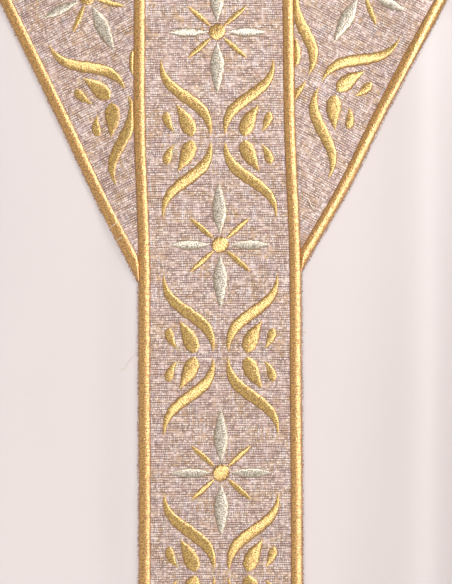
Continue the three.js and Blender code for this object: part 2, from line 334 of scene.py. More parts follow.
def uv_place(tree, uv_map):
    """A place in a UV map."""
    return add_node(tree, "ShaderNodeUVMap", uv_map=uv_map).outputs[0]


def parts_of(tree, place):
    """The first and the second part of a place."""
    return add_node(tree, "ShaderNodeSeparateXYZ", {0: place}).outputs[:2]


def new_material(name):
    """An empty material, its tree and its Principled shader."""
    material = bpy.data.materials.new(name)
    material.use_nodes = True
    tree = material.node_tree
    return material, tree, tree.nodes["Principled BSDF"]


IVORY_LOW = (0.775, 0.700, 0.686, 1)
IVORY_HIGH = (0.800, 0.728, 0.714, 1)
IVORY_SHADE = (0.66, 0.57, 0.55, 1)
HEM_STITCH = 3.4
HEM_STITCH_COLOUR = (0.62, 0.54, 0.50, 1)


def ivory_cloth():
    """Smooth ivory cloth: a broad drift of colour, a close fine weave and the hem's machine stitches."""
    material, tree, shader = new_material("ivory_cloth")
    place = uv_place(tree, "cloth")
    drift = stretched_noise(tree, place, 140, 220)
    fine = stretched_noise(tree, place, 0.9, 2.2)
    plain = blend_colour(tree, drift, IVORY_LOW, IVORY_HIGH)
    weave = blend_colour(tree, fine, plain, IVORY_SHADE, most=0.16)
    along, inward = parts_of(tree, uv_place(tree, "edge"))
    from_row = maths(tree, "ABSOLUTE", maths(tree, "SUBTRACT", inward, HEM_TURNED * MM))
    near = ramp(tree, from_row, 0.0009, 0.0003)
    part = maths(tree, "FRACT", maths(tree, "DIVIDE", along, HEM_STITCH * MM))
    stitch = maths(tree, "MULTIPLY", near, maths(tree, "LESS_THAN", part, 0.72))
    coloured = blend_colour(tree, stitch, weave, HEM_STITCH_COLOUR, most=0.7)
    height = maths(tree, "ADD", maths(tree, "MULTIPLY", fine, 0.1), stitch)
    bump = add_node(tree, "ShaderNodeBump", {"Strength": 1.0, "Distance": 0.00035, "Height": height})
    set_inputs(shader, {"Base Color": coloured, "Normal": bump.outputs[0]})
    set_inputs(shader, {"Roughness": 0.58, "Specular IOR Level": 0.3})
    set_inputs(shader, {"Sheen Weight": 0.12, "Sheen Roughness": 0.4})
    return material


IVORY = ivory_cloth()


def panel_columns(neck_steps, side_steps):
    """Places across: sine-spaced over the neck, then ever closer towards the side edges."""
    neck = NECK_HALF_WIDTH * np.sin(np.arange(1, neck_steps + 1) / neck_steps * np.pi / 2)
    share = 1 - (1 - np.arange(1, side_steps + 1) / side_steps) ** 1.35
    right = np.concatenate([neck, NECK_HALF_WIDTH + (HALF_WIDTH - NECK_HALF_WIDTH) * share])
    return np.concatenate([-right[::-1], [0], right])


def dress(piece, material, node=None):
    """Gives a piece its material and its body and, for a cut cloth, hides the imported solid it stands for.
    """
    piece.data.materials.append(material)
    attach(piece, "root")
    if node:
        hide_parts(node)


DENSE_SHARE = 0.3
BODY_ROWS = 140
HEM_ROWS = 16
HEM_ZONE = 1.5 * HEM_TURNED
HEM_THICKER = 0.35
GROOVE_DEEP = 0.5
GROOVE_HALF_WIDTH = 1.3


def panel_piece(panel, name):
    """One cut panel: rows close together over the shoulder and in the turned hem, which is a little
    thicker, with a groove at its stitches."""
    x = panel_columns(neck_steps=22, side_steps=96)
    top = top_drop(panel, x)
    hem = hem_drop(panel, x)
    steep = np.sqrt(1 + np.gradient(hem, x) ** 2)
    turned = np.minimum(HEM_ZONE * steep, 0.4 * (hem - top))
    v = np.linspace(0, 1, BODY_ROWS)
    close = v**2
    even = DENSE_SHARE**2 + 2 * DENSE_SHARE * (v - DENSE_SHARE)
    share = np.where(v < DENSE_SHARE, close, even) / (2 * DENSE_SHARE - DENSE_SHARE**2)
    body = top + (hem - turned - top) * share[:, None]
    tail = hem - turned * (1 - np.linspace(0, 1, HEM_ROWS)[1:, None])
    drop = np.concatenate([body, tail])
    inward = np.minimum((hem - drop) / steep, HALF_WIDTH - np.abs(x))
    thicker = HEM_THICKER * ease(-inward, -HEM_TURNED - 1, -HEM_TURNED + 1)
    groove = GROOVE_DEEP * np.exp(-(((inward - HEM_TURNED) / GROOVE_HALF_WIDTH) ** 2))
    edge_run = np.concatenate([[0], np.cumsum(np.hypot(np.diff(x), np.diff(hem)))])
    uv_maps = {"cloth": paired(x, drop), "edge": paired(edge_run, inward)}
    outer = cloth_point(panel, x, drop, thicker - groove)
    inner = cloth_point(panel, x, drop, -CLOTH_THICK)
    piece = shell(f"{name}_cloth", outer, inner, uv_maps, reverse=panel["out"] > 0)
    dress(piece, IVORY, name)


panel_piece(FRONT, "front_panel")
panel_piece(BACK, "back_panel")

# Neck binding: a strip of the same ivory cloth, cut on the cross and sewn round the neck opening's edge,
# where it covers the ends of the column and the raw edge.
BINDING_MIDDLE = 4.6
BINDING_HALF_HEIGHT = 4.1
BINDING_HALF_THICK = 3.3
BINDING_STATIONS = 73
BINDING_SIDES = 24
CLEAR_OF_HEM_STITCHES = 60.0


def neck_binding():
    """A rounded strip round the neck opening: a squared oval carried along the opening's edge."""
    turn = np.linspace(-np.pi / 2, np.pi / 2, BINDING_STATIONS)
    x = NECK_HALF_WIDTH * np.sin(turn)
    halves = []
    for panel, places in ((FRONT, x), (BACK, x[::-1])):
        level = top_drop(panel, places)
        face = cloth_point(panel, places, level)
        outward = cloth_point(panel, places, level, 1.0) - face
        halves.append((face[:-1], outward[:-1]))
    edge = np.concatenate([half[0] for half in halves])
    outward = np.concatenate([half[1] for half in halves])
    edge[np.abs(edge[:, 1]) < SEAM_GAP, 1] = 0
    run = np.roll(edge, -1, axis=0) - np.roll(edge, 1, axis=0)
    upward = np.cross(outward, run)
    upward /= np.linalg.norm(upward, axis=1, keepdims=True)
    angle = np.linspace(0, 2 * np.pi, BINDING_SIDES + 1)[:-1]
    squared = np.abs(np.cos(angle)) ** 3 + np.abs(np.sin(angle)) ** 3
    reach = squared ** (-1 / 3)
    length = np.concatenate([[0], np.cumsum(np.linalg.norm(np.diff(edge, axis=0), axis=1))])
    pucker = 1 + 0.05 * np.sin(length / 2.6) + 0.04 * np.sin(length / 4.1 + 1)
    rise = BINDING_MIDDLE + BINDING_HALF_HEIGHT * (reach * np.cos(angle))
    off = BINDING_HALF_THICK * (reach * np.sin(angle)) * pucker[:, None]
    points = edge[:, None, :] + upward[:, None, :] * rise[:, None] + outward[:, None, :] * off[..., None]
    number = np.arange(len(edge) * BINDING_SIDES).reshape(len(edge), BINDING_SIDES)
    ahead = np.roll(number, -1, axis=0)
    faces = quads((number, np.roll(number, -1, axis=1), np.roll(ahead, -1, axis=1), ahead))
    uv = paired(length[:, None], off + CLEAR_OF_HEM_STITCHES).reshape(-1, 2)
    piece = new_mesh("neck_binding_cloth", points.reshape(-1, 3), faces, {"cloth": uv, "edge": uv})
    dress(piece, IVORY, "neck_binding")


neck_binding()

# Band grounds: a Y-shaped orphrey of taupe slub weave with a gold thread, cut as one upright column
# from neck to hem and two arms that come out from under it and run up to the shoulder seams.
GROUND_BASE = 0.4
GROUND_TOP = 1.9
GROUND_MARGIN = 0.6
COLUMN_GRID = (281, 55)
ARM_GRID = (130, 60)
ARM_UNDER_COLUMN = 12.0
ARM_TUCKED_SHARE = 0.6
ARM_WEAVE_SHIFT = 31.0
ARM_COLUMNS = ("name", "side", "junction", "lean", "motif_inward", "cluster_up", "bow", "cut_area")
ARM_ROWS = [
    ("orphrey_arm_left", -1, 443.5, 26.3, 80.3, 173.9, 1.7, 0.052),
    ("orphrey_arm_right", 1, 433.3, 28.5, 78.4, 172.7, 2.8, 0.054),
]
ARMS = [dict(zip(ARM_COLUMNS, row)) for row in ARM_ROWS]
BOW_MIDDLE = 95.0
BOW_REACH = 58.0
SEAM_CLEAR = 0.4
SWAY = -5.0
SWAY_LEVELS = (255.0, 440.0)
TAUPE = (0.630, 0.440, 0.340, 1)
MAUVE = (0.640, 0.460, 0.405, 1)
DARK_GAP = (0.090, 0.050, 0.045, 1)
ROW_SHADE = (0.30, 0.130, 0.085, 1)
PALE_DOT = (0.98, 0.83, 0.74, 1)
LILAC_SLUB = (0.84, 0.72, 0.72, 1)
GOLD_WEFT = (0.78, 0.50, 0.18, 1)
THREAD_ACROSS = 2.1
THREAD_DOWN = 2.3


def band_unevenness(x, drop):
    """Slow waviness of the backed weave, a quarter of a millimetre at most: two bent waves multiplied,
    and a third added."""
    first = np.sin(x / 13.0 + 1.3 * np.sin(drop / 41.0))
    second = np.sin(drop / 17.0 + 1.1 * np.sin(x / 23.0) + 0.7)
    return 0.14 * first * second + 0.10 * np.sin(drop / 7.3 + x / 19.0)


def band_sway(drop):
    """How far the column swings aside above its straight part, eased between two levels."""
    return SWAY * (1 - ease(drop, *SWAY_LEVELS))


def beyond_column(x, drop):
    """Distance outside the column's edge, below nothing where the column covers the place."""
    return np.abs(x - band_sway(drop)) - HALF_BAND


def lame_weave():
    """Slub weave in rows: thread crossings a little aside from those of the row above, each paler or
    darker than the next, dark dots between them, terracotta lines between some rows, lilac slubs up and
    down, and a few places where the gold weft shows."""
    material, tree, shader = new_material("lame_weave")
    place = uv_place(tree, "cloth")
    wobble = stretched_noise(tree, place, 11, 6)
    across, down = parts_of(tree, place)
    picks = maths(tree, "MULTIPLY_ADD", down, 1 / (THREAD_DOWN * MM), maths(tree, "MULTIPLY", wobble, 0.6))
    row = maths(tree, "FLOOR", picks)
    row_chance = add_node(tree, "ShaderNodeTexWhiteNoise", {"W": row}, noise_dimensions="1D").outputs["Value"]
    shifted = maths(tree, "MULTIPLY_ADD", row_chance, 0.8, maths(tree, "MULTIPLY", wobble, 1.6))
    ends = maths(tree, "MULTIPLY_ADD", across, 1 / (THREAD_ACROSS * MM), shifted)
    in_end = maths(tree, "ABSOLUTE", maths(tree, "SUBTRACT", maths(tree, "FRACT", ends), 0.5))
    in_pick = maths(tree, "ABSOLUTE", maths(tree, "SUBTRACT", maths(tree, "FRACT", picks), 0.5))
    cell = add_node(tree, "ShaderNodeCombineXYZ", {0: maths(tree, "FLOOR", ends), 1: row}).outputs[0]
    cell_noise = add_node(tree, "ShaderNodeTexWhiteNoise", {"Vector": cell}, noise_dimensions="2D")
    chance = cell_noise.outputs["Value"]
    speckled = ramp(tree, stretched_noise(tree, place, 13.0, 6.0), 0.38, 0.54)
    corner = maths(tree, "MULTIPLY", ramp(tree, maths(tree, "ADD", in_end, in_pick), 0.52, 0.70), speckled)
    open_rows = ramp(tree, stretched_noise(tree, place, 24.0, 2.2), 0.46, 0.58)
    row_gap = maths(tree, "MULTIPLY", ramp(tree, in_pick, 0.22, 0.40), open_rows)
    slubs = stretched_noise(tree, place, 2.0, 26.0)
    patches = stretched_noise(tree, place, 26.0, 15.0)
    golden = stretched_noise(tree, place, 7.0, 1.6)
    ground = blend_colour(tree, ramp(tree, patches, 0.38, 0.62), MAUVE, TAUPE)
    gold_share = maths(tree, "MULTIPLY", ramp(tree, patches, 0.42, 0.66), ramp(tree, golden, 0.50, 0.62))
    gilt = blend_colour(tree, gold_share, ground, GOLD_WEFT, most=0.6)
    slubbed = blend_colour(tree, ramp(tree, slubs, 0.54, 0.64), gilt, LILAC_SLUB, most=0.75)
    lined = blend_colour(tree, row_gap, slubbed, ROW_SHADE, most=0.80)
    dot_share = maths(tree, "MULTIPLY", ramp(tree, chance, 0.60, 0.95), ramp(tree, in_pick, 0.45, 0.25))
    dotted = blend_colour(tree, dot_share, lined, PALE_DOT, most=0.80)
    sunk = maths(tree, "MULTIPLY", ramp(tree, chance, 0.30, 0.05), 0.45)
    darkness = maths(tree, "MAXIMUM", corner, sunk)
    full = blend_colour(tree, darkness, dotted, DARK_GAP, most=0.90)
    sunken = maths(tree, "MAXIMUM", darkness, row_gap)
    height = maths(tree, "SUBTRACT", maths(tree, "ADD", maths(tree, "MULTIPLY", chance, 0.5), slubs), sunken)
    bump = add_node(tree, "ShaderNodeBump", {"Strength": 0.7, "Distance": 0.0003, "Height": height})
    set_inputs(shader, {"Base Color": full, "Normal": bump.outputs[0]})
    set_inputs(shader, {"Metallic": 0.10, "Roughness": 0.6})
    return material


LAME = lame_weave()


def dress_band(piece, node):
    """Gives a band's ground its weave and its body, and hides the imported solid of its cut."""
    dress(piece, LAME, node)


def column_ground():
    """The column's ground, from the neck opening to the hem: straight sides that sway near the top."""
    x = np.linspace(-1, 1, COLUMN_GRID[1]) * (HALF_BAND + GROUND_MARGIN)
    share = np.linspace(0, 1, COLUMN_GRID[0])[:, None]
    top = top_drop(FRONT, x) + 0.5
    drop = top + (hem_drop(FRONT, x) - 0.3 - top) * share
    swayed = x + band_sway(drop)
    outer = cloth_point(FRONT, swayed, drop, GROUND_TOP + band_unevenness(x, drop))
    inner = cloth_point(FRONT, swayed, drop, GROUND_BASE)
    return shell("orphrey_column_ground", outer, inner, {"cloth": paired(x, drop)})


def arm_bow(arm, up):
    """How far an arm's edge bulges outward: a bell along it."""
    return arm["bow"] * np.exp(-(((up - BOW_MIDDLE) / BOW_REACH) ** 2))


def on_arm(arm, inward, up):
    """Place across and level of a point on an arm, from its distance inward of the outer edge and its
    distance up from the junction along that edge."""
    lean = np.radians(arm["lean"])
    inward = inward - arm_bow(arm, up)
    x = HALF_BAND + up * np.sin(lean) - inward * np.cos(lean)
    drop = arm["junction"] - up * np.cos(lean) - inward * np.sin(lean)
    return arm["side"] * x, drop


def arm_reach(arm, inward):
    """How far up a line parallel to an arm's outer edge meets the shoulder seam."""

    def below_seam(up):
        x, drop = on_arm(arm, inward, up)
        return drop > ridge_drop(np.abs(x)) + SEAM_CLEAR

    return float(close_in(150.0, 700.0, below_seam)[0])


def arm_ground(arm):
    """An arm's ground: a fan from the junction up to the neck opening and the shoulder seam, with its
    weave running along the arm."""
    edge_x, _ = on_arm(arm, 0.0, arm_reach(arm, 0.0))
    inner_x = HALF_BAND - ARM_UNDER_COLUMN
    share = np.linspace(0, 1, ARM_GRID[1])
    top_x = inner_x + (abs(edge_x) - inner_x) * share
    top = np.maximum(top_drop(FRONT, top_x), ridge_drop(top_x) + SEAM_CLEAR)
    reach = 1 - (1 - np.linspace(0.012, 1, ARM_GRID[0])[:, None]) ** 1.4
    across = inner_x + (top_x - inner_x) * reach
    drop = arm["junction"] + (top - arm["junction"]) * reach
    lean = np.radians(arm["lean"])
    out_from_edge = across - HALF_BAND
    up_from_junction = arm["junction"] - drop
    along = out_from_edge * np.sin(lean) + up_from_junction * np.cos(lean)
    inward = up_from_junction * np.sin(lean) - out_from_edge * np.cos(lean)
    bulge = arm_bow(arm, along) * share**2
    across = across + bulge * np.cos(lean)
    drop = drop + bulge * np.sin(lean)
    tuck = ease(beyond_column(arm["side"] * across, drop), -1, 1)
    thinned = ARM_TUCKED_SHARE + (1 - ARM_TUCKED_SHARE) * tuck
    raised = (GROUND_TOP + band_unevenness(across, drop)) * thinned
    outer = cloth_point(FRONT, arm["side"] * across, drop, raised)[::-1]
    inner = cloth_point(FRONT, arm["side"] * across, drop, GROUND_BASE)[::-1]
    uv = paired(arm["side"] * (inward + ARM_WEAVE_SHIFT), along)[::-1]
    return shell(f"{arm['name']}_ground", outer, inner, {"cloth": uv}, reverse=arm["side"] < 0)


dress_band(column_ground(), "orphrey_column")
for arm in ARMS:
    dress_band(arm_ground(arm), arm["name"])

# Satin borders: close machine satin stitch in gold over a padded line, along both edges of the column
# and along the outer edge of each arm, where it runs in under the column's border.
BORDER_WIDTH = 11.6
BORDER_HEIGHT = 2.9
BORDER_STEP = 1.1
BORDER_FULLNESS = 2.1
BORDER_TUCK = 9.0
BORDER_SUNK = 1.0
DOME_POWER = 0.72
DOME_ROOT = 0.6
BORDER_MIDDLE = BORDER_WIDTH / 2 - 0.3
BORDER_BASE = GROUND_TOP - 0.2
DOME_SHARES = np.sin(np.linspace(-1, 1, 15) * np.pi / 2)
BASE_SHARES = np.array([0.6, 0.0, -0.6])
# Painted shade: the darker amber put on the rim of the gold satin shapes, where the dome slopes down.
GOLD_RIM_SHADE = (0.42, 0.185, 0.055, 1)
BORDER_DEEP = (0.50, 0.195, 0.02, 1)
BORDER_BRIGHT = (1.0, 0.56, 0.13, 1)
FILM_IOR = 2.6
GOLD_FILM = (1.0, 0.97, 0.86, 1)


def satin_thread(name, deep, bright, rim, film, metallic, roughness, slant):
    """Close satin stitch of film-wound thread: threads across the piece, so the pale gloss of the film
    spreads along it. Single threads and grains differ in colour and stand a little proud, and a painted
    shade darkens the rim, where the dome slopes down to the band."""
    material, tree, shader = new_material(name)
    along, across = parts_of(tree, uv_place(tree, "thread"))
    leaning = maths(tree, "MULTIPLY_ADD", across, slant, along)
    together = add_node(tree, "ShaderNodeCombineXYZ", {0: leaning, 1: across}).outputs[0]
    single = stretched_noise(tree, together, 1.1, 4.0)
    grain = stretched_noise(tree, together, 1.3, 1.5, detail=1.0)
    share = ramp(tree, maths(tree, "MULTIPLY_ADD", grain, 1.0, single), 0.84, 1.12)
    colour = blend_colour(tree, share, deep, bright)
    share_out, _ = parts_of(tree, uv_place(tree, "rim"))
    # Painted shade: the thread's colour darkens towards each dome's rim, where it slopes down to the band.
    rim_shade_share = ramp(tree, maths(tree, "MULTIPLY_ADD", grain, 0.2, share_out), 0.84, 0.99)
    rim_shaded = blend_colour(tree, rim_shade_share, colour, rim, most=0.85)
    height = maths(tree, "MULTIPLY_ADD", grain, 0.35, single)
    bump = add_node(tree, "ShaderNodeBump", {"Strength": 1.0, "Distance": 0.0008, "Height": height})
    tangent = add_node(tree, "ShaderNodeTangent", direction_type="UV_MAP", uv_map="thread")
    set_inputs(shader, {"Base Color": rim_shaded, "Metallic": metallic, "Roughness": roughness})
    set_inputs(shader, {"Normal": bump.outputs[0], "Tangent": tangent.outputs[0], "Anisotropic": 0.9})
    set_inputs(shader, {"IOR": FILM_IOR, "Specular IOR Level": 1.0, "Specular Tint": film})
    set_inputs(shader, {"Coat Weight": 0.3, "Coat Roughness": 0.3, "Coat Normal": bump.outputs[0]})
    return material


def raised_strip(half_width, height, base, fullness):
    """Profile of a satin-stitched shape: offsets across, heights and rim shares of a closed dome with a
    flat base. The dome's height is one less the offset's power `fullness`, to the dome's power."""
    dome = base + height[:, None] * (1 - np.abs(DOME_SHARES) ** fullness + 1e-9) ** DOME_POWER
    flat = np.full((len(height), len(BASE_SHARES)), base - DOME_ROOT)
    shares = np.concatenate([DOME_SHARES, BASE_SHARES])
    offsets = half_width[:, None] * shares
    rim = np.broadcast_to(np.abs(shares), offsets.shape)
    return offsets, np.concatenate([dome, flat], axis=-1), paired(rim, 0.0) / MM


def jagged(run, seed):
    """The small waver of a satin edge from uneven needle holes, in millimetres: two waves added."""
    return 0.13 * np.sin(run * 1.9 + seed) + 0.12 * np.sin(run * 0.57 + 2 * seed)


def tube_faces(stations, count, first, reverse):
    """Quads round a closed profile at each station, with a fan of quads closing both ends."""
    number = first + np.arange(stations * count).reshape(stations, count)
    here, ahead = number[:-1], number[1:]
    side = quads((here, ahead, np.roll(ahead, -1, axis=1), np.roll(here, -1, axis=1)))
    half = count // 2
    low = np.arange(half - 1)
    cap = np.stack([low, low + 1, count - 2 - low, count - 1 - low], axis=1)
    faces = np.concatenate([side, number[0][cap], number[-1][cap][:, ::-1]])
    return faces[:, ::-1] if reverse else faces


def sewn_piece(name, tubes, material):
    """One mesh of closed tubes, each given as its grid of points (a profile at each station), its UV
    maps, and whether its faces have to be turned to point outward."""
    points, faces, uv_maps = [], [], {}
    first = 0
    for grid, tube_maps, reverse in tubes:
        stations, count = grid.shape[:2]
        points.append(grid.reshape(-1, 3))
        faces.append(tube_faces(stations, count, first, reverse))
        for key, uv in tube_maps.items():
            uv_maps.setdefault(key, []).append(uv.reshape(-1, 2))
        first += stations * count
    joined_maps = {key: np.concatenate(parts) for key, parts in uv_maps.items()}
    dress(new_mesh(name, np.concatenate(points), np.concatenate(faces), joined_maps), material)


def border_profile(run, seed, phase):
    """A border's profile at each distance along it: its edge wavers and its padding swells a little."""
    height = BORDER_HEIGHT * (1 + 0.04 * np.sin(run / 9.0 + phase))
    return raised_strip(BORDER_WIDTH / 2 + jagged(run, seed), height, BORDER_BASE, BORDER_FULLNESS)


def border_tube(across, run, x, drop, raised, rim):
    """A border's tube from its offsets across, distances along, places, levels, heights and rim shares."""
    leftward = x[0, len(DOME_SHARES) - 1] < x[0, 0]
    return cloth_point(FRONT, x, drop, raised), {"thread": paired(run[:, None], across), "rim": rim}, leftward


def column_border(side):
    """A satin strip along one side of the column, from the neck opening to the hem."""
    edge_x = side * (HALF_BAND - BORDER_MIDDLE)
    top = float(top_drop(FRONT, np.array(edge_x))) + 1.0
    end = float(hem_drop(FRONT, np.array(edge_x))) - 0.5
    drop = np.linspace(end, top, int((end - top) / BORDER_STEP))
    across, raised, rim = border_profile(drop, 1.0 + side, side)
    x = edge_x + across + (0.12 * np.sin(drop / 31.0) + band_sway(drop))[:, None]
    return border_tube(across, drop, x, drop[:, None], raised, rim)


def arm_border(arm):
    """A satin strip along an arm's outer edge, from under the column's border up to the seam. It sinks
    where it runs in under the column."""
    lean = np.radians(arm["lean"])
    start = (BORDER_MIDDLE * np.cos(lean) - BORDER_TUCK) / np.sin(lean)
    end = arm_reach(arm, BORDER_MIDDLE) - 1.0
    up = np.linspace(start, end, int((end - start) / BORDER_STEP))
    across, raised, rim = border_profile(up, 4.0 + arm["side"], 0.0)
    x, drop = on_arm(arm, BORDER_MIDDLE - across, up[:, None])
    sunk = BORDER_SUNK + (raised - BORDER_SUNK) * ease(beyond_column(x, drop), -1.5, 1.5)
    return border_tube(across * arm["side"], up, x, drop, sunk, rim)


BORDER_COLOURS = (BORDER_DEEP, BORDER_BRIGHT, GOLD_RIM_SHADE, GOLD_FILM)
GOLD_BORDER = satin_thread("gold_border", *BORDER_COLOURS, metallic=0.6, roughness=0.50, slant=0.12)
sewn_piece("column_borders", [column_border(side) for side in (-1, 1)], GOLD_BORDER)
sewn_piece("arm_borders", [arm_border(arm) for arm in ARMS], GOLD_BORDER)

# Frayed edges: the band's raw edge shows as a thin mauve fringe just outside its satin borders. It is
# what is left of the weave where the band was cut along the stitches.
FRAY_STEP = 0.8
FRAY_REACH = 1.5
FRAY_LOOPS = (-0.75, 0.55)
FRAY_ROOT = -3.0
FRAY_LIFT = 0.2
FRAY_SHARES = np.array([0.0, 0.5, 0.85, 1.0, 0.85, 0.5, 0.0])
FRAY_HEIGHTS = np.array([1.5, 1.5, 1.25, 0.8, 0.5, 0.5, 0.5])
FRAY_DARK = (0.36, 0.19, 0.13, 1)
FRAY_PALE = (0.80, 0.66, 0.59, 1)


def fringe_cloth():
    """Raw edge of the weave: mauve threads end on, dark and pale by turns."""
    material, tree, shader = new_material("fringe_cloth")
    grain = stretched_noise(tree, uv_place(tree, "cloth"), 3.0, 1.1, detail=0.0)
    colour = blend_colour(tree, ramp(tree, grain, 0.35, 0.65), FRAY_DARK, FRAY_PALE)
    set_inputs(shader, {"Base Color": colour, "Roughness": 0.7})
    return material


def fringe_out(seed, run):
    """Distances out from the band's edge, a flat profile at each station: from under the border to the
    tips and back, whose reach is short uneven loops about their mean."""
    chance = np.random.default_rng(seed)
    reach = FRAY_REACH + chance.uniform(*FRAY_LOOPS, run.shape) + 0.2 * np.sin(run / 6.1)
    return FRAY_ROOT + (reach[:, None] - FRAY_ROOT) * FRAY_SHARES


def fringe_tube(out, run, x, drop, clear=1.0):
    """A fringe's flat tube, lowered where it isn't clear of the column."""
    leftward = x[0, np.argmax(FRAY_SHARES)] < x[0, 0]
    lifted = cloth_point(FRONT, x, drop, FRAY_HEIGHTS * clear + FRAY_LIFT)
    return lifted, {"cloth": paired(out, run[:, None])}, leftward


def column_fringe(side):
    """The fringe down one side of the column, from hem to neck opening."""
    top = float(top_drop(FRONT, np.array(side * HALF_BAND))) + 1.0
    end = float(hem_drop(FRONT, np.array(side * HALF_BAND))) - 1.0
    run = np.linspace(end, top, int((end - top) / FRAY_STEP))
    out = fringe_out(20 + side, run)
    drop = run[:, None]
    return fringe_tube(out, run, side * (HALF_BAND + out) + band_sway(drop), drop)


def arm_fringe(arm):
    """The fringe along an arm's outer edge, from under the column up to the shoulder seam."""
    end = arm_reach(arm, 0.0) - 1.0
    run = np.linspace(-2.0, end, int(end / FRAY_STEP))
    out = fringe_out(30 + arm["side"], run)
    x, drop = on_arm(arm, -out, run[:, None])
    return fringe_tube(out, run, x, drop, clear=ease(beyond_column(x, drop), -4.5, -3.0))


FRINGE = fringe_cloth()
sewn_piece("column_fringe", [column_fringe(side) for side in (-1, 1)], FRINGE)
sewn_piece("arm_fringe", [arm_fringe(arm) for arm in ARMS], FRINGE)

# Embroidery: leaves, buds and stars in satin stitch through the bands, gold for the leaf clusters and
# for the stars' discs and rays, silver for the stars' petals. The motifs alternate down the column.
MOTIF_REPEAT = 213.2
FIRST_CLUSTER_DROP = 301.0
STAR_NUDGE = {0: -1.4, 1: 8.6}
MOTIF_ASIDE = 0.6
MOTIF_SWAY = 0.5
ARM_STAR_ABOVE = 106.0
QUARTERS = ((-1, -1), (1, -1), (-1, 1), (1, 1))
SPINE_STATIONS = 44
STITCH_LOFT = 1.6
FULL_LOFT_FROM = 3.5
STITCH_FULLNESS = 3.2
STITCH_SUNK = 0.25
TUCKED_LEVEL = 0.8
GOLD_DEEP = (0.50, 0.215, 0.018, 1)
GOLD_BRIGHT = (1.0, 0.68, 0.17, 1)
SILVER_DEEP = (0.30, 0.22, 0.13, 1)
SILVER_BRIGHT = (0.90, 0.80, 0.66, 1)
# Painted shade: the darker brown put on the rim of the silver shapes, where the dome slopes down.
SILVER_RIM_SHADE = (0.38, 0.25, 0.12, 1)
SILVER_FILM = (1.0, 0.95, 0.84, 1)
# The spine of each shape in its motif, a row each: distance out, distance down and half width.
LONG_LEAF = [
    (56.0, 79.0, 0.35), (54.2, 66.5, 2.8), (48.7, 55.8, 4.8), (38.6, 46.4, 5.8), (26.2, 37.4, 6.1),
    (15.4, 28.2, 5.8), (9.7, 18.4, 4.1), (7.5, 9.4, 2.0), (7.5, 3.0, 0.3),
]
LARGE_BUD = [
    (40.4, 33.2, 0.3), (36.6, 27.2, 3.4), (32.4, 20.4, 6.7), (29.0, 12.6, 7.9), (26.8, 6.4, 6.4),
    (25.9, 1.8, 0.8),
]
SMALL_BUD = [
    (50.9, 26.4, 0.5), (50.8, 23.6, 3.6), (50.2, 19.4, 4.8), (48.2, 13.8, 3.6), (45.6, 9.6, 1.8),
    (42.8, 6.0, 0.25),
]
SLIVER = [(47.2, 24.2, 0.3), (46.2, 18.5, 0.9), (43.8, 11.5, 1.0), (41.2, 4.8, 0.3)]
UPRIGHT_PETAL = [
    (0.0, 10.0, 0.3), (0.0, 17.0, 3.0), (0.0, 25.0, 6.2), (0.0, 33.5, 7.5), (0.0, 43.5, 6.2),
    (0.0, 53.5, 3.6), (0.0, 62.5, 0.3),
]
LEVEL_PETAL = [
    (10.6, 0.0, 0.3), (15.0, 0.0, 2.4), (22.0, 0.0, 4.4), (31.0, 0.0, 5.1), (39.5, 0.0, 3.9),
    (48.5, 0.0, 0.4),
]
RAY = [(6.6, 6.2, 0.9), (12.0, 11.0, 2.5), (19.0, 17.4, 2.9), (25.5, 23.0, 2.0), (29.6, 26.8, 0.2)]
DISC = [
    (-6.4, 5.4, 0.6), (-5.4, 4.5, 4.8), (-3.1, 2.6, 7.4), (0.0, 0.0, 8.3), (3.1, -2.6, 7.4),
    (5.4, -4.5, 4.8), (6.4, -5.4, 0.6),
]


def smooth_rows(table, t):
    """Each column of a table as a smooth curve over its rows, read at the places t."""
    steps = np.arange(len(table))
    return [curve_through(paired(steps, column))(t) for column in np.transpose(table)]


def stitched_shape(table, mirror_out, mirror_down, wobble):
    """One satin-stitched shape about its motif's middle: a smooth spine through the rows, the raised
    profile across it, and a slightly uneven edge. Gives its places, heights and UV maps, and whether it
    is mirrored."""
    t = np.linspace(0, len(table) - 1, SPINE_STATIONS)
    out, down, half = smooth_rows(table, t)
    half = np.maximum(half, 0.15)
    half = half * (1 + 0.05 * np.sin(7.0 * t + wobble)) + 0.10 * np.sin(23.0 * t + wobble)
    half = np.maximum(half, 0.12)
    run_out, run_down = np.gradient(out), np.gradient(down)
    length = np.hypot(run_out, run_down)
    distance = np.concatenate([[0], np.cumsum(np.hypot(np.diff(out), np.diff(down)))])
    height = STITCH_LOFT * np.minimum(half / FULL_LOFT_FROM, 1) ** 0.7 + 0.05 * half
    across, raised, rim = raised_strip(half, height, 0.0, STITCH_FULLNESS)
    x = (out[:, None] - across * (run_down / length)[:, None]) * mirror_out
    y = (down[:, None] + across * (run_out / length)[:, None]) * mirror_down
    uv_maps = {"thread": paired(distance[:, None], across), "rim": rim}
    return x, y, raised, uv_maps, mirror_out * mirror_down < 0


def cluster_shapes():
    """The gold shapes of a leaf cluster: a long leaf, a large bud and a small bud in each quarter."""
    return [
        stitched_shape(table, out, down, number + len(table))
        for number, (out, down) in enumerate(QUARTERS)
        for table in (LONG_LEAF, LARGE_BUD, SMALL_BUD)
    ]


def cluster_silver_shapes():
    """The pale slivers along the small buds on a cluster's left."""
    return [stitched_shape(SLIVER, -1, down, down) for down in (-1, 1)]


def star_gold_shapes():
    """A star's gold shapes: four slanting rays and the disc in the middle."""
    rays = [stitched_shape(RAY, out, down, out + 2 * down) for out, down in QUARTERS]
    return rays + [stitched_shape(DISC, 1, 1, 0.4)]


def star_silver_shapes():
    """A star's four silver petals, the upright pair longer than the level pair."""
    upright = [stitched_shape(UPRIGHT_PETAL, 1, down, down) for down in (-1, 1)]
    return upright + [stitched_shape(LEVEL_PETAL, out, 1, out) for out in (-1, 1)]


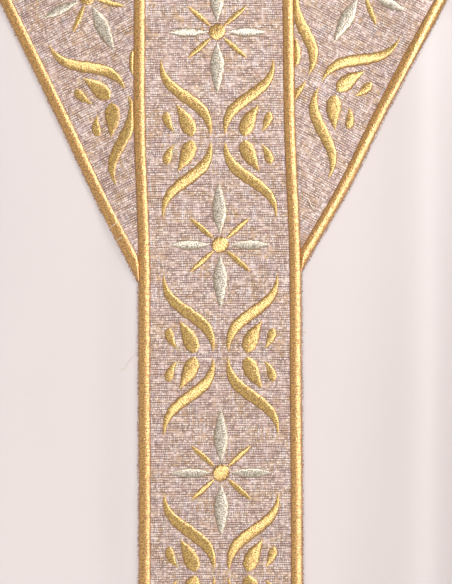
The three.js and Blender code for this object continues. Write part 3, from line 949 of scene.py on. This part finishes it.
def column_place(centre):
    """Carries a motif's own places to the column, its middle at the given level."""
    return lambda x, y: (x + MOTIF_ASIDE + MOTIF_SWAY * band_sway(centre + y), centre + y)


def arm_place(arm, up):
    """Carries a motif's own places to an arm, its middle on the arm's middle line."""
    return lambda x, y: on_arm(arm, arm["motif_inward"] - arm["side"] * x, up - y)


def motif_tubes(shapes, places, on_column=False):
    """The tubes of a motif's shapes laid on the band at each of its places. A shape on an arm stays
    under the column where it runs in below it."""
    tubes = []
    for place in places:
        for x, y, raised, uv_maps, mirrored in shapes:
            across, drop = place(x, y)
            clear = 1.0 if on_column else ease(beyond_column(across, drop), -0.5, 1.5)
            level = GROUND_TOP - STITCH_SUNK + band_unevenness(across, drop)
            lifted = TUCKED_LEVEL + (level + raised - TUCKED_LEVEL) * clear
            tubes.append((cloth_point(FRONT, across, drop, lifted), uv_maps, not mirrored))
    return tubes


GOLD_COLOURS = (GOLD_DEEP, GOLD_BRIGHT, GOLD_RIM_SHADE, GOLD_FILM)
GOLD_SATIN = satin_thread("gold_satin", *GOLD_COLOURS, metallic=0.6, roughness=0.56, slant=0.1)
SILVER_COLOURS = (SILVER_DEEP, SILVER_BRIGHT, SILVER_RIM_SHADE, SILVER_FILM)
SILVER_SATIN = satin_thread("silver_satin", *SILVER_COLOURS, metallic=0.4, roughness=0.55, slant=0.3)
clusters = [column_place(FIRST_CLUSTER_DROP + MOTIF_REPEAT * number) for number in range(4)]
stars = [
    column_place(FIRST_CLUSTER_DROP + MOTIF_REPEAT * (number + 0.5) + STAR_NUDGE.get(number, 0.0))
    for number in range(-1, 4)
]
arm_clusters = [arm_place(arm, arm["cluster_up"]) for arm in ARMS]
arm_stars = [arm_place(arm, arm["cluster_up"] + ARM_STAR_ABOVE) for arm in ARMS]
gold_on_column = motif_tubes(cluster_shapes(), clusters, True) + motif_tubes(star_gold_shapes(), stars, True)
silver_on_column = motif_tubes(star_silver_shapes(), stars, True)
silver_on_column += motif_tubes(cluster_silver_shapes(), clusters, True)
gold_on_arms = motif_tubes(cluster_shapes(), arm_clusters) + motif_tubes(star_gold_shapes(), arm_stars)
sewn_piece("column_gold_embroidery", gold_on_column, GOLD_SATIN)
sewn_piece("column_silver_embroidery", silver_on_column, SILVER_SATIN)
sewn_piece("arm_gold_embroidery", gold_on_arms, GOLD_SATIN)
silver_on_arms = motif_tubes(star_silver_shapes(), arm_stars)
sewn_piece("arm_silver_embroidery", silver_on_arms, SILVER_SATIN)

# Thread ends: two tacking stitches left across the left arm's border, and a few fine ends of pale thread
# that have worked loose beside the column and on the right arm.
END_SIDES = 6
# Each tack's distance up the border and how far it slants, and its two ends' distances inward.
TACKS = [(60.6, 1.6, 0.2, 9.2), (46.7, 0.2, 0.0, 7.4)]
TACK_RADIUS = 0.38
# Each loose end's radius, and its rows of place across, level and height off the cloth.
LOOSE_ENDS = [
    (0.55, [(78.0, 356.0, 2.6), (83.5, 359.4, 3.0), (87.8, 362.7, 3.2), (89.9, 368.1, 2.8),
            (94.3, 373.0, 2.1)]),
    (0.35, [(79.5, 491.6, 1.4), (82.4, 491.0, 1.5), (84.8, 492.6, 0.8)]),
    (0.22, [(-79.0, 509.0, 1.4), (-84.4, 514.0, 1.6), (-91.1, 523.0, 1.0), (-95.0, 527.6, 0.5),
            (-100.5, 528.0, 0.3)]),
]
END_LOW = (0.74, 0.60, 0.42, 1)
END_HIGH = (0.95, 0.88, 0.76, 1)


def thread_ends_silk():
    """Pale twisted silk: bands of two colours along the thread."""
    material, tree, shader = new_material("thread_ends_silk")
    twist = stretched_noise(tree, uv_place(tree, "cloth"), 1.2, 1.2, detail=1.0)
    colour = blend_colour(tree, ramp(tree, twist, 0.35, 0.65), END_LOW, END_HIGH)
    set_inputs(shader, {"Base Color": colour, "Roughness": 0.45})
    return material


def tack_path(arm, up, slant, start, end):
    """A stitch across an arm's border: straight from start to end inward, over the border's dome."""
    inward = np.linspace(start, end, 24)
    share = np.clip((inward - BORDER_MIDDLE) / (BORDER_WIDTH / 2), -1, 1)
    dome = BORDER_HEIGHT * (1 - np.abs(share) ** BORDER_FULLNESS) ** DOME_POWER
    x, drop = on_arm(arm, inward, up + slant * inward / end)
    return x, drop, GROUND_TOP + dome + 0.1


def thread_tube(path, radius):
    """A fine round thread: a ring about each point of a path, from its run and the cloth's normal,
    tapering at the tips."""
    x, drop, raised = path
    angle = np.arange(END_SIDES) / END_SIDES * 2 * np.pi
    centre = cloth_point(FRONT, x, drop, raised)
    normal = cloth_point(FRONT, x, drop, raised + 1.0) - centre
    side = np.cross(np.gradient(centre, axis=0), normal)
    side /= np.linalg.norm(side, axis=1, keepdims=True)
    taper = radius * np.sqrt(np.clip(1 - np.linspace(-1, 1, len(x)) ** 6, 0.06, 1))
    ring = side[:, None, :] * np.cos(angle)[:, None] + normal[:, None, :] * np.sin(angle)[:, None]
    length = np.concatenate([[0], np.cumsum(np.linalg.norm(np.diff(centre, axis=0), axis=1))])
    points = centre[:, None, :] + taper[:, None, None] * ring
    return points, {"cloth": paired(length[:, None], angle * radius)}, False


threads = [thread_tube(tack_path(ARMS[0], *tack), TACK_RADIUS) for tack in TACKS]
for radius, rows in LOOSE_ENDS:
    threads.append(thread_tube(smooth_rows(rows, np.linspace(0, len(rows) - 1, 40)), radius))
sewn_piece("thread_ends", threads, thread_ends_silk())

# Floor, light and camera: a plain pale floor under the hem, a soft light from the right and above with
# a second one beside it for the threads' gloss, a broad fill from the left, one behind for the back
# panel, pale surroundings, and a long lens straight at the breast of the garment.
FLOOR_LEVEL = -1.45
FLOOR_REACH = 30.0
PHOTO_SCALE = 0.981
PHOTO_SIZE = (452, 584)
PHOTO_COLUMN_X = 219.9
PHOTO_TOP_Y = 107
PHOTO_TOP_DROP = 271.0
BAND_PLANE = 0.155
LIGHTS_AIM = (0, -BAND_PLANE, -0.45)
CAMERA_AWAY = 2.6
CAMERA_ROLL = 0.2
SENSOR = 36.0


def floor():
    """A wide level floor."""
    mesh = bpy.data.meshes.new("floor")
    corners = np.array([(-1, -1, 0), (1, -1, 0), (1, 1, 0), (-1, 1, 0)]) * FLOOR_REACH
    mesh.from_pydata((corners + (0, 0, FLOOR_LEVEL)).tolist(), [], [(0, 1, 2, 3)])
    piece = bpy.data.objects.new("floor", mesh)
    bpy.context.scene.collection.objects.link(piece)
    material, _, shader = new_material("pale_floor")
    set_inputs(shader, {"Base Color": (0.78, 0.77, 0.76, 1), "Roughness": 0.8})
    mesh.materials.append(material)


def soft_light(name, azimuth, elevation, away, size, energy, colour, diffuse=True, glossy=True):
    """An area light aimed at the garment's breast from a bearing right of the front and a height. It may
    be kept out of the diffuse light or out of the gloss."""
    data = bpy.data.lights.new(name, "AREA")
    data.shape = "DISK"
    data.size = size
    data.energy = energy
    data.color = colour
    lamp = bpy.data.objects.new(name, data)
    bearing, height = np.radians(azimuth), np.radians(elevation)
    direction = Vector((np.sin(bearing) * np.cos(height), -np.cos(bearing) * np.cos(height), np.sin(height)))
    lamp.location = Vector(LIGHTS_AIM) + direction * away
    lamp.rotation_mode = "QUATERNION"
    lamp.rotation_quaternion = (-direction).to_track_quat("-Z", "Y")
    lamp.visible_camera = False
    lamp.visible_diffuse = diffuse
    lamp.visible_glossy = glossy
    bpy.context.scene.collection.objects.link(lamp)


floor()
soft_light("key", 50, 33, away=3.2, size=1.2, energy=50.5, colour=(1.0, 0.985, 0.97))
soft_light("gloss", 50, 33, away=3.2, size=1.2, energy=118, colour=(1.0, 0.99, 0.98), diffuse=False)
soft_light("fill", -34, 10, away=4.0, size=4.0, energy=86, colour=(1.0, 0.99, 0.985), glossy=False)
soft_light("behind", 165, 28, away=4.0, size=3.0, energy=70, colour=(1.0, 0.99, 0.98))
world = bpy.data.worlds.new("studio")
world.use_nodes = True
set_inputs(world.node_tree.nodes["Background"], {"Color": (1.0, 0.985, 0.975, 1), "Strength": 0.38})
bpy.context.scene.world = world
bpy.context.scene.view_settings.view_transform = "Standard"

camera_data = bpy.data.cameras.new("camera")
camera_data.sensor_width = SENSOR
camera_data.lens = SENSOR * CAMERA_AWAY / (PHOTO_SIZE[1] * PHOTO_SCALE * MM)
camera = bpy.data.objects.new("camera", camera_data)
middle_x = (PHOTO_SIZE[0] / 2 - PHOTO_COLUMN_X) * PHOTO_SCALE * MM
middle_drop = (PHOTO_TOP_DROP + (PHOTO_SIZE[1] / 2 - PHOTO_TOP_Y) * PHOTO_SCALE) * MM
camera.location = (middle_x, -BAND_PLANE - CAMERA_AWAY, -middle_drop)
camera.rotation_euler = (np.pi / 2, np.radians(CAMERA_ROLL), 0)
bpy.context.scene.collection.objects.link(camera)
bpy.context.scene.camera = camera
